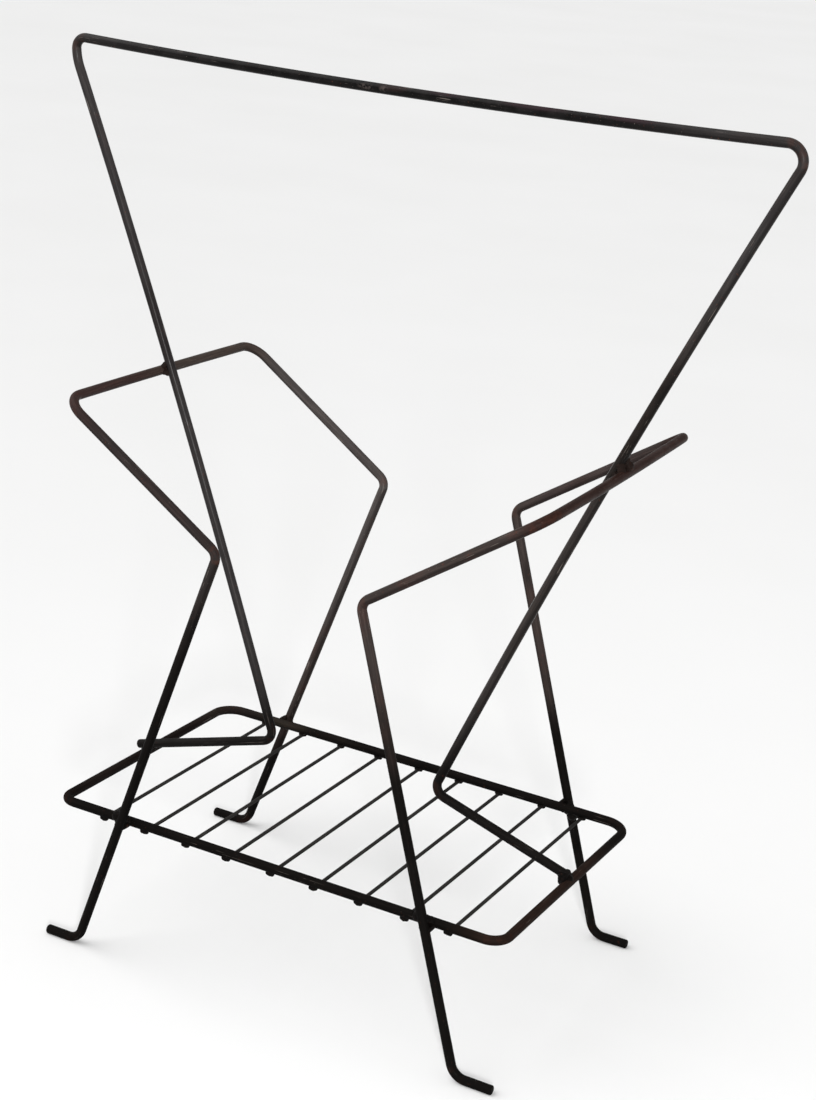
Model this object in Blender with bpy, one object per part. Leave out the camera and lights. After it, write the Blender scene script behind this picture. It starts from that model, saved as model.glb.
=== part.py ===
"""Welded steel-rod newspaper rack.

A rounded rectangle of round rod is the tray, with thin cross wires welded under it.
Two bent end bows are the four legs, the pocket sides and the end stops. A tall handle
stands in the middle plane and divides the rack into a front and a back pocket.
Every joint is a weld, and each weld bead is a ring of metal of its own between two rods.

The back legs are a little shorter than the front ones, so the rack leans back slightly.

Metres, +Z up, X along the rack, the front at -Y.
The origin is on the floor, under the middle of the rack. Everything but the floor is laid
out in the leaning frame, where the tray is level and y = 0 is the handle's plane.
"""

import math

import bmesh
import bpy
from mathutils import Matrix, Vector

LEFT, RIGHT = -1, 1
FRONT, BACK = -1, 1
SIDE_NAMES = {LEFT: "left", RIGHT: "right"}
END_NAMES = {FRONT: "front", BACK: "back"}

# Stock. The rod is quarter-inch round steel.
ROD_DIAMETER = 0.00635
WIRE_DIAMETER = 0.0025
CUT_END_CHAMFER = 0.0006
JOINT_GAP = 0.0003

# How far the rack leans back, and the step forward that keeps it centred on the origin.
LEAN = math.radians(0.90)
STEP_FORWARD = 0.0038

# Tray, to the rod's centreline.
TRAY_LENGTH = 0.330
TRAY_WIDTH = 0.205
TRAY_HEIGHT = 0.0968
TRAY_CORNER_RADII = {
    (LEFT, FRONT): 0.0095,
    (RIGHT, FRONT): 0.0120,
    (RIGHT, BACK): 0.0165,
    (LEFT, BACK): 0.0150,
}
WIRE_COUNT = 9
WIRE_PITCH = 0.0325
WIRE_OVERHANG = 0.0010
WIRE_DROP = 0.0042

# End bows, to the rod's centreline. X is measured from the middle of the rack.
FOOT_BEND_X = 0.145
FOOT_LENGTH = 0.0285
KNEE_X = 0.051
KNEE_HEIGHT = 0.2988
BOW_TOP_X = 0.1684
BOW_TOP_Y = 0.1126
BOW_TOP_HEIGHT = 0.3758
LEG_SPLAY = 0.0104
FOOT_BEND_RADIUS = 0.011
KNEE_RADIUS = 0.008
BOW_TOP_RADIUS = 0.014
BOW_TOP_SPRING = 0.0009
FOOT_WEAR = 0.0004

# Handle, to the rod's centreline.
HANDLE_TOP_X = {LEFT: 0.2521, RIGHT: 0.2574}
HANDLE_TOP_HEIGHT = 0.5868
HANDLE_KNEE_X = {LEFT: 0.0625, RIGHT: 0.0610}
HANDLE_KNEE_RISE = 0.0365
HANDLE_END_RISE = 0.0052
HANDLE_TOP_RADII = {LEFT: 0.0070, RIGHT: 0.0105}
HANDLE_KNEE_RADIUS = 0.008
HANDLE_TOP_SAG = 0.0040
HANDLE_SHOULDER_X = 0.2510
HANDLE_SHOULDER_HEIGHT = 0.5735
HANDLE_SHOULDER_RADIUS = 0.036
HANDLE_OVERHANG = {LEFT: 0.0092, RIGHT: -0.0010}
HANDLE_RIGHT_DROP = 0.0014
HANDLE_RUN_ENDS = {LEFT: "shoulder", RIGHT: "top"}

# The rods were bent and set by hand, so some lie a little off their design places.
BOW_OFFSETS = {
    (LEFT, FRONT, "tip"): Vector((0.0068, 0, 0)),
    (LEFT, FRONT, "foot"): Vector((0.0035, 0, 0)),
    (LEFT, FRONT, "knee"): Vector((-0.0009, 0, 0)),
    (LEFT, FRONT, "top"): Vector((-0.0006, 0.0020, 0.0006)),
    (LEFT, BACK, "foot"): Vector((0.0003, 0, 0)),
    (LEFT, BACK, "knee"): Vector((0.0018, 0, 0)),
    (LEFT, BACK, "top"): Vector((-0.0006, -0.0010, 0)),
    (RIGHT, FRONT, "foot"): Vector((0.0013, 0, 0)),
    (RIGHT, FRONT, "knee"): Vector((0, 0, -0.0065)),
    (RIGHT, FRONT, "top"): Vector((0, 0, -0.0035)),
    (RIGHT, BACK, "tip"): Vector((-0.0016, 0, 0)),
    (RIGHT, BACK, "foot"): Vector((0.0008, 0, 0)),
    (RIGHT, BACK, "knee"): Vector((0.0006, 0, 0.0020)),
    (RIGHT, BACK, "top"): Vector((-0.0010, 0, 0.0020)),
}
WIRE_SHIFTS = {4: -0.0010, 8: 0.0008, 9: -0.0009}

# Weld beads: half sizes along the first rod, along the second rod and across the joint.
LEG_BEAD = Vector((0.0050, 0.0048, 0.0026))
LEG_BEAD_RISE = 0.0012
FOOT_BEAD = Vector((0.0055, 0.0055, 0.0030))
SIDE_BEAD = Vector((0.0050, 0.0050, 0.0022))
WIRE_BEAD = Vector((0.0028, 0.0034, 0.0016))

# Fineness of the round shapes.
BEND_STEP = math.radians(15)
BOWED_RUN_STEPS = 8
ROD_BEVEL_RESOLUTION = 4
WIRE_BEVEL_RESOLUTION = 2
ROD_CUTTER_SIDES = 24
WIRE_CUTTER_SIDES = 16
SEAT_LENGTH = 0.050
BEAD_SEGMENTS = 12
BEAD_RINGS = 8

# Paint colours, as 8-bit display values, and roughness.
HANDLE_PAINT = ((53, 48, 46), 0.42)
BOW_PAINT = ((46, 36, 33), 0.45)
TRAY_PAINT = ((38, 30, 27), 0.48)
WIRE_PAINT = ((30, 28, 26), 0.50)
WELD_PAINT = ((24, 22, 20), 0.55)

ROD_RADIUS = ROD_DIAMETER / 2
WIRE_RADIUS = WIRE_DIAMETER / 2
FOOT_HEIGHT = ROD_RADIUS - FOOT_WEAR
WIRE_NUMBERS = range(1, WIRE_COUNT + 1)
LEG_Y_AT_TRAY = TRAY_WIDTH / 2 + ROD_DIAMETER + JOINT_GAP
WIRE_HEIGHT = TRAY_HEIGHT - WIRE_DROP


def clear_scene():
    for old in list(bpy.data.objects):
        bpy.data.objects.remove(old, do_unlink=True)


def new_collection(name):
    collection = bpy.data.collections.new(name)
    bpy.context.scene.collection.children.link(collection)
    return collection


def linear(channel):
    """An 8-bit display value as linear light."""
    value = channel / 255
    if value <= 0.04045:
        return value / 12.92
    return ((value + 0.055) / 1.055) ** 2.4


def paint(name, colour, roughness):
    """Worn satin lacquer over steel."""
    material = bpy.data.materials.new(name)
    material.use_nodes = True
    shader = material.node_tree.nodes["Principled BSDF"]
    shader.inputs["Base Color"].default_value = (*map(linear, colour), 1)
    shader.inputs["Roughness"].default_value = roughness
    shader.inputs["Metallic"].default_value = 0.0
    return material


def add_part(rack, name, data, location, finish):
    """One sub-part, under the rack's origin and with its own paint."""
    part = bpy.data.objects.new(name, data)
    rack["collection"].objects.link(part)
    part.parent = rack["origin"]
    part.location = location
    part.data.materials.clear()
    part.data.materials.append(paint(name + "_paint", *finish))
    return part


# Rods


def arc_points(corner, before, after, radius):
    """The bend at a corner, from the run that arrives to the run that leaves."""
    back = (before - corner).normalized()
    ahead = (after - corner).normalized()
    opening = back.angle(ahead)
    turn = math.pi - opening
    centre = corner + (back + ahead).normalized() * radius / math.sin(opening / 2)
    reach = radius / math.tan(opening / 2)
    start = corner + back * reach - centre
    end = corner + ahead * reach - centre
    steps = max(2, math.ceil(turn / BEND_STEP))
    points = []
    for step in range(steps + 1):
        angle = turn * step / steps
        weights = math.sin(turn - angle), math.sin(angle)
        points.append(centre + (start * weights[0] + end * weights[1]) / math.sin(turn))
    return points


def bowed_run(start, end, bow):
    """The points inside a run that bows by the vector bow at its middle."""
    points = []
    for step in range(1, BOWED_RUN_STEPS):
        share = step / BOWED_RUN_STEPS
        points.append(start.lerp(end, share) + bow * 4 * share * (1 - share))
    return points


def rod_path(corners, radii, bows=None, closed=False):
    """Straight or bowed runs between the corners, with an arc of its radius at each one."""
    count = len(corners)
    bends = []
    for index, corner in enumerate(corners):
        if not closed and index in (0, count - 1):
            bends.append([corner])
            continue
        before = corners[index - 1]
        after = corners[(index + 1) % count]
        bends.append(arc_points(corner, before, after, radii[index]))
    points = []
    for index, bend in enumerate(bends):
        points += bend
        if bows and index < count - 1 and bows[index]:
            points += bowed_run(bend[-1], bends[index + 1][0], bows[index])
    return points


def rod_curve(name, points, diameter, bevel_resolution, closed=False):
    """Round stock along the points, with chamfered cut ends where it isn't a closed loop."""
    curve = bpy.data.curves.new(name, "CURVE")
    curve.dimensions = "3D"
    curve.bevel_depth = diameter / 2
    curve.bevel_resolution = bevel_resolution
    curve.use_fill_caps = True
    shares = [1.0] * len(points)
    if not closed:
        first = points[0] + (points[1] - points[0]).normalized() * CUT_END_CHAMFER
        last = points[-1] + (points[-2] - points[-1]).normalized() * CUT_END_CHAMFER
        points = [points[0], first, *points[1:-1], last, points[-1]]
        end_share = 1 - CUT_END_CHAMFER / (diameter / 2)
        shares = [end_share, *[1.0] * (len(points) - 2), end_share]
    spline = curve.splines.new("POLY")
    spline.points.add(len(points) - 1)
    spline.use_cyclic_u = closed
    for control, point, share in zip(spline.points, points, shares):
        control.co = (*point, 1)
        control.radius = share
    return curve


def rod_mesh(name, points, diameter, bevel_resolution):
    """The same rod as a welded mesh, for a piece that is cut."""
    curve = rod_curve(name, points, diameter, bevel_resolution)
    guide = bpy.data.objects.new(name + "_curve", curve)
    bpy.context.scene.collection.objects.link(guide)
    graph = bpy.context.evaluated_depsgraph_get()
    mesh = bpy.data.meshes.new_from_object(guide.evaluated_get(graph))
    bpy.data.objects.remove(guide, do_unlink=True)
    shape = bmesh.new()
    shape.from_mesh(mesh)
    bmesh.ops.remove_doubles(shape, verts=shape.verts, dist=0.00001)
    bmesh.ops.recalc_face_normals(shape, faces=shape.faces)
    shape.to_mesh(mesh)
    shape.free()
    mesh.name = name
    smooth(mesh)
    return mesh


def smooth(mesh):
    mesh.shade_smooth()
    mesh.set_sharp_from_angle(angle=math.radians(40))


# Key points


def bow_corner(side, end, corner):
    """A corner of an end bow where its straight runs would meet."""
    foot_y = LEG_Y_AT_TRAY + LEG_SPLAY * TRAY_HEIGHT
    foot_z = (FOOT_HEIGHT + end * foot_y * math.sin(LEAN)) / math.cos(LEAN)
    knee_y = LEG_Y_AT_TRAY - LEG_SPLAY * (KNEE_HEIGHT - TRAY_HEIGHT)
    places = {
        "tip": (FOOT_BEND_X + FOOT_LENGTH, foot_y, foot_z),
        "foot": (FOOT_BEND_X, foot_y, foot_z),
        "knee": (KNEE_X, knee_y, KNEE_HEIGHT),
        "top": (BOW_TOP_X, BOW_TOP_Y, BOW_TOP_HEIGHT),
    }
    x, y, z = places[corner]
    return Vector((side * x, end * y, z)) + BOW_OFFSETS.get((side, end, corner), Vector())


def leg_at_tray(side, end):
    """Where a leg's centreline crosses the height of the tray, and the leg's direction."""
    foot = bow_corner(side, end, "foot")
    knee = bow_corner(side, end, "knee")
    share = (TRAY_HEIGHT - foot.z) / (knee.z - foot.z)
    return foot.lerp(knee, share), (knee - foot).normalized()


def handle_corner(side, corner):
    """A corner of the handle. The shoulder is a slight bend in the left side run, near its top."""
    drop = HANDLE_RIGHT_DROP if side == RIGHT else 0
    knee = Vector((side * HANDLE_KNEE_X[side], 0, TRAY_HEIGHT + HANDLE_KNEE_RISE - drop))
    over_bar = Vector((side * TRAY_LENGTH / 2, 0, TRAY_HEIGHT + HANDLE_END_RISE - drop))
    if corner == "top":
        return Vector((side * HANDLE_TOP_X[side], 0, HANDLE_TOP_HEIGHT))
    if corner == "shoulder":
        return Vector((side * HANDLE_SHOULDER_X, 0, HANDLE_SHOULDER_HEIGHT))
    if corner == "knee":
        return knee
    if corner == "over_bar":
        return over_bar
    return over_bar + (over_bar - knee).normalized() * HANDLE_OVERHANG[side]


def bar_at_handle(side):
    """The middle of a bow's top bar, where the handle's side rod presses on its inner side."""
    front, back = bow_corner(side, FRONT, "top"), bow_corner(side, BACK, "top")
    return (front + back) / 2 + bar_spring(side)


def bar_spring(side):
    """How far the handle presses out the middle of a bow's top bar."""
    return Vector((side * BOW_TOP_SPRING, 0, 0))


def handle_side(side):
    """How a side run of the handle bows inward to clear the bow's top bar.

    Gives the bow at the middle of the run, and the point and direction of the rod at the bar.
    """
    knee = handle_corner(side, "knee")
    run = handle_corner(side, HANDLE_RUN_ENDS[side]) - knee
    inward = Vector((-side * run.z, 0, side * run.x)).normalized()
    bar = bar_at_handle(side) - knee
    share = bar.dot(run) / run.length_squared
    push = ROD_DIAMETER + JOINT_GAP + bar.dot(inward)
    bow = inward * push / (4 * share * (1 - share))
    crossing = knee + run * share + inward * push
    direction = (run + bow * 4 * (1 - 2 * share)).normalized()
    return bow, crossing, direction


def wire_x(number):
    """The place of a cross wire, numbered from 1 at the left end."""
    return (number - (WIRE_COUNT + 1) / 2) * WIRE_PITCH + WIRE_SHIFTS.get(number, 0)


# Cutters


def add_cylinder_cutter(rack, name, centre, direction, radius, length, sides):
    """A cylinder along the direction, to cut the seat of a rod."""
    mesh = bpy.data.meshes.new(name)
    shape = bmesh.new()
    bmesh.ops.create_cone(
        shape, cap_ends=True, segments=sides, radius1=radius, radius2=radius, depth=length
    )
    shape.to_mesh(mesh)
    shape.free()
    cutter = place_cutter(rack, name, mesh, centre)
    cutter.parent = rack["origin"]
    cutter.rotation_mode = "QUATERNION"
    cutter.rotation_quaternion = direction.to_track_quat("Z", "Y")
    return cutter


def place_cutter(rack, name, mesh, centre):
    cutter = bpy.data.objects.new(name, mesh)
    rack["cutters"].objects.link(cutter)
    cutter.location = centre
    cutter.hide_render = True
    cutter.display_type = "WIRE"
    return cutter


def rod_seat(rack, name, centre, direction, length):
    radius = ROD_RADIUS + JOINT_GAP
    return add_cylinder_cutter(rack, name, centre, direction, radius, length, ROD_CUTTER_SIDES)


def make_cutters(rack):
    """The room that each rod takes up at its joints, and the floor under the feet."""
    seats = {}
    for end in (FRONT, BACK):
        centre = Vector((0, end * TRAY_WIDTH / 2, TRAY_HEIGHT))
        name = "seat_rail_" + END_NAMES[end]
        seats["rail", end] = rod_seat(rack, name, centre, Vector((1, 0, 0)), TRAY_LENGTH)
    for side in (LEFT, RIGHT):
        centre = Vector((side * TRAY_LENGTH / 2, 0, TRAY_HEIGHT))
        name = "seat_bar_" + SIDE_NAMES[side]
        seats["bar", side] = rod_seat(rack, name, centre, Vector((0, 1, 0)), SEAT_LENGTH)
        centre = handle_corner(side, "over_bar")
        direction = centre - handle_corner(side, "knee")
        name = "seat_handle_foot_" + SIDE_NAMES[side]
        seats["handle_foot", side] = rod_seat(rack, name, centre, direction, SEAT_LENGTH)
        _, centre, direction = handle_side(side)
        name = "seat_handle_side_" + SIDE_NAMES[side]
        seats["handle_side", side] = rod_seat(rack, name, centre, direction, SEAT_LENGTH)
        centre = bar_at_handle(side)
        direction = bow_corner(side, BACK, "top") - bow_corner(side, FRONT, "top")
        name = "seat_bow_top_" + SIDE_NAMES[side]
        seats["bow_top", side] = rod_seat(rack, name, centre, direction, SEAT_LENGTH)
        for end in (FRONT, BACK):
            centre, direction = leg_at_tray(side, end)
            name = f"seat_leg_{SIDE_NAMES[side]}_{END_NAMES[end]}"
            seats["leg", side, end] = rod_seat(rack, name, centre, direction, SEAT_LENGTH)
    for number in WIRE_NUMBERS:
        seats["wire", number] = add_cylinder_cutter(
            rack,
            f"seat_wire_{number}",
            Vector((wire_x(number), 0, WIRE_HEIGHT)),
            Vector((0, 1, 0)),
            WIRE_RADIUS + JOINT_GAP,
            TRAY_WIDTH * 1.2,
            WIRE_CUTTER_SIDES,
        )
    seats["floor"] = floor_cutter(rack)
    return seats


def floor_cutter(rack):
    """A block under the floor line, which wears a flat on each foot."""
    thickness = ROD_DIAMETER
    mesh = bpy.data.meshes.new("floor_block")
    shape = bmesh.new()
    bmesh.ops.create_cube(shape, size=1)
    size = Vector((2 * BOW_TOP_X + TRAY_WIDTH, 2 * TRAY_WIDTH, thickness))
    bmesh.ops.scale(shape, vec=size, verts=shape.verts)
    shape.to_mesh(mesh)
    shape.free()
    return place_cutter(rack, "floor_block", mesh, Vector((0, 0, -thickness / 2)))


def cut(part, *cutters):
    for cutter in cutters:
        boolean = part.modifiers.new("cut_" + cutter.name, "BOOLEAN")
        boolean.operation = "DIFFERENCE"
        boolean.solver = "EXACT"
        boolean.object = cutter


# Sub-parts


def make_tray_frame(rack):
    corners = []
    for side, end in TRAY_CORNER_RADII:
        corners.append(Vector((side * TRAY_LENGTH / 2, end * TRAY_WIDTH / 2, 0)))
    points = rod_path(corners, list(TRAY_CORNER_RADII.values()), closed=True)
    curve = rod_curve("tray_frame", points, ROD_DIAMETER, ROD_BEVEL_RESOLUTION, closed=True)
    add_part(rack, "tray_frame", curve, (0, 0, TRAY_HEIGHT), TRAY_PAINT)


def make_cross_wires(rack, seats):
    """Each wire is pressed into the rails by the welding, so it has a notch under each one."""
    reach = Vector((0, TRAY_WIDTH / 2 + WIRE_OVERHANG, 0))
    for number in WIRE_NUMBERS:
        name = f"cross_wire_{number}"
        mesh = rod_mesh(name, [-reach, reach], WIRE_DIAMETER, WIRE_BEVEL_RESOLUTION)
        wire = add_part(rack, name, mesh, (wire_x(number), 0, WIRE_HEIGHT), WIRE_PAINT)
        cut(wire, seats["rail", FRONT], seats["rail", BACK])


def make_bow(rack, seats, side):
    """One rod: foot, leg, knee and arm at the front, the top bar, and the same at the back."""
    half = ("tip", "foot", "knee", "top")
    corners = [bow_corner(side, FRONT, corner) for corner in half]
    corners += [bow_corner(side, BACK, corner) for corner in reversed(half)]
    radii = (0, FOOT_BEND_RADIUS, KNEE_RADIUS, BOW_TOP_RADIUS)
    name = SIDE_NAMES[side] + "_bow"
    bows = [None, None, None, bar_spring(side), None, None, None]
    points = rod_path(corners, [*radii, *reversed(radii)], bows)
    mesh = rod_mesh(name, points, ROD_DIAMETER, ROD_BEVEL_RESOLUTION)
    bow = add_part(rack, name, mesh, (0, 0, 0), BOW_PAINT)
    cut(bow, seats["floor"])


def make_handle(rack, seats):
    """One rod up from the end bars, in to the knees, and out and up to the grip."""
    left_half = ("end", "knee", "shoulder", "top")
    right_half = ("top", "knee", "end")
    corners = [handle_corner(LEFT, corner) for corner in left_half]
    corners += [handle_corner(RIGHT, corner) for corner in right_half]
    radii = [0, HANDLE_KNEE_RADIUS, HANDLE_SHOULDER_RADIUS]
    radii += [HANDLE_TOP_RADII[LEFT], HANDLE_TOP_RADII[RIGHT], HANDLE_KNEE_RADIUS, 0]
    sag = Vector((0, 0, -HANDLE_TOP_SAG))
    bows = [None, handle_side(LEFT)[0], None, sag, handle_side(RIGHT)[0], None]
    points = rod_path(corners, radii, bows)
    mesh = rod_mesh("handle", points, ROD_DIAMETER, ROD_BEVEL_RESOLUTION)
    handle = add_part(rack, "handle", mesh, (0, 0, 0), HANDLE_PAINT)
    cut(handle, seats["bar", LEFT], seats["bar", RIGHT])


def add_bead(rack, name, centre, along, across, half_sizes, cutters):
    """Weld metal round the crossing of two rods, as wide as half_sizes, less both rods."""
    mesh = bpy.data.meshes.new(name)
    shape = bmesh.new()
    bmesh.ops.create_uvsphere(shape, u_segments=BEAD_SEGMENTS, v_segments=BEAD_RINGS, radius=1)
    # Half a segment's turn keeps the ball's edges off the planes of the rods' axes.
    turn = Matrix.Rotation(math.pi / BEAD_SEGMENTS, 3, "Z")
    bmesh.ops.rotate(shape, matrix=turn, verts=shape.verts)
    bmesh.ops.scale(shape, vec=half_sizes, verts=shape.verts)
    shape.to_mesh(mesh)
    shape.free()
    smooth(mesh)
    bead = add_part(rack, name, mesh, centre, WELD_PAINT)
    normal = along.cross(across).normalized()
    axes = Matrix((along.normalized(), normal.cross(along).normalized(), normal)).transposed()
    bead.rotation_mode = "QUATERNION"
    bead.rotation_quaternion = axes.to_quaternion()
    cut(bead, *cutters)


def make_leg_welds(rack, seats):
    for side in (LEFT, RIGHT):
        for end in (FRONT, BACK):
            leg, direction = leg_at_tray(side, end)
            centre = Vector((leg.x, end * (TRAY_WIDTH / 2 + LEG_Y_AT_TRAY) / 2, TRAY_HEIGHT))
            centre += direction * LEG_BEAD_RISE
            name = f"leg_weld_{SIDE_NAMES[side]}_{END_NAMES[end]}"
            cutters = (seats["rail", end], seats["leg", side, end])
            add_bead(rack, name, centre, Vector((1, 0, 0)), direction, LEG_BEAD, cutters)


def make_handle_welds(rack, seats):
    """The handle is welded to the tray's end bars, and to the bows' top bars half way up."""
    for side in (LEFT, RIGHT):
        over_bar = handle_corner(side, "over_bar")
        direction = over_bar - handle_corner(side, "knee")
        centre = Vector((over_bar.x, 0, (TRAY_HEIGHT + over_bar.z) / 2))
        cutters = (seats["bar", side], seats["handle_foot", side])
        name = "handle_foot_weld_" + SIDE_NAMES[side]
        add_bead(rack, name, centre, direction, Vector((0, 1, 0)), FOOT_BEAD, cutters)
        _, crossing, direction = handle_side(side)
        bar = bar_at_handle(side)
        across = bow_corner(side, BACK, "top") - bow_corner(side, FRONT, "top")
        cutters = (seats["bow_top", side], seats["handle_side", side])
        name = "handle_side_weld_" + SIDE_NAMES[side]
        add_bead(rack, name, (crossing + bar) / 2, direction, across, SIDE_BEAD, cutters)


def make_wire_welds(rack, seats):
    for end in (FRONT, BACK):
        for number in WIRE_NUMBERS:
            centre = Vector((wire_x(number), end * TRAY_WIDTH / 2, TRAY_HEIGHT - ROD_RADIUS))
            name = f"wire_weld_{END_NAMES[end]}_{number}"
            cutters = (seats["rail", end], seats["wire", number])
            along, across = Vector((1, 0, 0)), Vector((0, 1, 0))
            add_bead(rack, name, centre, along, across, WIRE_BEAD, cutters)


def main():
    clear_scene()
    rack = {
        "collection": new_collection("newspaper_rack"),
        "cutters": new_collection("cutters"),
        "origin": bpy.data.objects.new("rack_origin", None),
    }
    rack["collection"].objects.link(rack["origin"])
    rack["origin"].location = (0, -STEP_FORWARD, 0)
    rack["origin"].rotation_euler = (-LEAN, 0, 0)
    seats = make_cutters(rack)
    make_tray_frame(rack)
    make_cross_wires(rack, seats)
    make_bow(rack, seats, LEFT)
    make_bow(rack, seats, RIGHT)
    make_handle(rack, seats)
    make_leg_welds(rack, seats)
    make_handle_welds(rack, seats)
    make_wire_welds(rack, seats)


main()
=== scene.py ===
"""Looks for the newspaper rack: fine rods, hand-laid welds, worn lacquer, light and camera.

Metres, +Z up, X along the rack, the front at -Y. Rods are laid out in the rack's own level frame,
and rack_point() leans them back with the rack.
"""

import math

import bmesh
import bpy
from mathutils import Matrix, Vector, noise

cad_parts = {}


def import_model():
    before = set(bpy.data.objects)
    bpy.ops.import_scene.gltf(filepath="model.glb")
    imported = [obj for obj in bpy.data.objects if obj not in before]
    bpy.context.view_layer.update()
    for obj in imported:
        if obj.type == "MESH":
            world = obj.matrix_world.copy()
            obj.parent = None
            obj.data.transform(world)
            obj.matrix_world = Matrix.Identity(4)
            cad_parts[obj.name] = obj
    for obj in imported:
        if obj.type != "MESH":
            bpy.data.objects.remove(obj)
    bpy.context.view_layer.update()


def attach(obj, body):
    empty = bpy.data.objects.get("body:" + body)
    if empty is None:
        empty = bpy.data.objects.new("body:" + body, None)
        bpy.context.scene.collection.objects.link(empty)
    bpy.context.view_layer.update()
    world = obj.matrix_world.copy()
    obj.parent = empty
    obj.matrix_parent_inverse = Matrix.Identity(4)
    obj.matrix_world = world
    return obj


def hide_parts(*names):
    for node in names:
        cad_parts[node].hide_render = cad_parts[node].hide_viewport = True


MM = 0.001
LEFT, RIGHT = -1, 1
FRONT, BACK = -1, 1
SIDE_NAMES = {LEFT: "left", RIGHT: "right"}
END_NAMES = {FRONT: "front", BACK: "back"}

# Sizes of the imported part, to the rods' centrelines.
ROD_RADIUS = 0.003175
WIRE_RADIUS = 0.00125
LEAN = math.radians(0.90)
STEP_FORWARD = 0.0038
TRAY_LENGTH = 0.330
TRAY_WIDTH = 0.205
TRAY_HEIGHT = 0.0968
TRAY_CORNER_RADII = {
    (LEFT, FRONT): 0.0095,
    (RIGHT, FRONT): 0.0120,
    (RIGHT, BACK): 0.0165,
    (LEFT, BACK): 0.0150,
}
WIRE_PITCH = 0.0325
WIRE_SHIFTS = {4: -0.0010, 8: 0.0008, 9: -0.0009}
WIRE_NUMBERS = range(1, 10)
WIRE_OVERHANG = 0.0010
WIRE_HEIGHT = TRAY_HEIGHT - 0.0042
FOOT_HEIGHT = 0.002775
FOOT_BEND_X = 0.145
FOOT_LENGTH = 0.0285
LEG_Y_AT_TRAY = 0.10915
LEG_SPLAY = 0.0104
KNEE_X = 0.051
KNEE_HEIGHT = 0.2988
BOW_TOP_X = 0.1684
BOW_TOP_Y = 0.1126
BOW_TOP_HEIGHT = 0.3758
BOW_TOP_SPRING = 0.0009
BOW_RADII = {"foot": 0.011, "knee": 0.008, "top": 0.014}
BOW_OFFSETS = {
    (LEFT, FRONT, "tip"): Vector((0.0068, 0, 0)),
    (LEFT, FRONT, "foot"): Vector((0.0035, 0, 0)),
    (LEFT, FRONT, "knee"): Vector((-0.0009, 0, 0)),
    (LEFT, FRONT, "top"): Vector((-0.0006, 0.0020, 0.0006)),
    (LEFT, BACK, "foot"): Vector((0.0003, 0, 0)),
    (LEFT, BACK, "knee"): Vector((0.0018, 0, 0)),
    (LEFT, BACK, "top"): Vector((-0.0006, -0.0010, 0)),
    (RIGHT, FRONT, "foot"): Vector((0.0013, 0, 0)),
    (RIGHT, FRONT, "knee"): Vector((0, 0, -0.0065)),
    (RIGHT, FRONT, "top"): Vector((0, 0, -0.0035)),
    (RIGHT, BACK, "tip"): Vector((-0.0016, 0, 0)),
    (RIGHT, BACK, "foot"): Vector((0.0008, 0, 0)),
    (RIGHT, BACK, "knee"): Vector((0.0006, 0, 0.0020)),
    (RIGHT, BACK, "top"): Vector((-0.0010, 0, 0.0020)),
}
HANDLE_TOP_X = {LEFT: 0.2521, RIGHT: 0.2574}
HANDLE_TOP_HEIGHT = 0.5868
HANDLE_KNEE_X = {LEFT: 0.0625, RIGHT: 0.0610}
HANDLE_KNEE_RISE = 0.0365
HANDLE_END_RISE = 0.0052
HANDLE_KNEE_RADIUS = 0.008
HANDLE_TOP_RADII = {LEFT: 0.0070, RIGHT: 0.0105}
HANDLE_TOP_SAG = 0.0040
HANDLE_SHOULDER_X = 0.2510
HANDLE_SHOULDER_HEIGHT = 0.5735
HANDLE_SHOULDER_RADIUS = 0.036
HANDLE_OVERHANG = {LEFT: 0.0092, RIGHT: -0.0010}
HANDLE_RIGHT_DROP = 0.0014
HANDLE_RUN_ENDS = {LEFT: "shoulder", RIGHT: "top"}
ROD_GAP = 0.0003

# Fineness of the rods.
BEND_STEP = math.radians(4)
BOWED_RUN_STEPS = 32
STATION_STEP = 0.003
ROD_SIDES = 32
WIRE_SIDES = 20
END_ROUND = 0.0009
WIRE_END_ROUND = 0.0005
END_RINGS = 5
BEND_FLATTENING = 0.035
PAINT_SWELL = 0.00003
PAINT_SWELL_SCALE = 180

# The side that has been upwards. Across each rod the lacquer is painted lighter on it, partly
# as dusting and partly as painted light from above, and darker on the other side as painted shade.
LIT_SIDE = Vector((0.05, -0.10, 1.0)).normalized()

# Fineness of the welds.
WELD_VOXEL = 0.00035
WELD_SMOOTHING = 18
WELD_ROD_INSET = 0.00035
WELD_LUMP = 0.00014
WELD_LUMP_SCALE = 420

# Weld metal in the four corners of a crossing: the span of each concave fillet, in millimetres.
# The first sign goes along the first rod, and the second along the second one.
LEG_FILLETS = {
    (LEFT, FRONT): {(-1, 1): 8.5, (1, 1): 2.5, (-1, -1): 3.0, (1, -1): 2.5},
    (RIGHT, FRONT): {(-1, 1): 8.0, (1, 1): 3.0, (-1, -1): 3.0, (1, -1): 2.5},
    (LEFT, BACK): {(-1, 1): 2.5, (1, 1): 2.5, (-1, -1): 3.0, (1, -1): 3.5},
    (RIGHT, BACK): {(-1, 1): 2.5, (1, 1): 2.5, (-1, -1): 3.0, (1, -1): 9.5},
}
FOOT_FILLETS = {
    LEFT: {(-1, -1): 2.5, (1, -1): 2.5, (-1, 1): 2.5, (1, 1): 2.5},
    RIGHT: {(-1, -1): 6.0, (1, -1): 5.0},
}
SIDE_FILLETS = {
    LEFT: {(1, 1): 1.6, (1, -1): 1.4, (-1, 1): 1.2, (-1, -1): 1.6},
    RIGHT: {(1, 1): 8.0, (1, -1): 2.5, (-1, 1): 3.0, (-1, -1): 2.5},
}
FILLET_SHARES = (0.08, 0.25, 0.45, 0.7)
FILLET_LAYERS = (-0.55, 0, 0.55)

# Without a seed, the wobble of the weld metal would differ from run to run.
NOISE_SEED = 1

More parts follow.
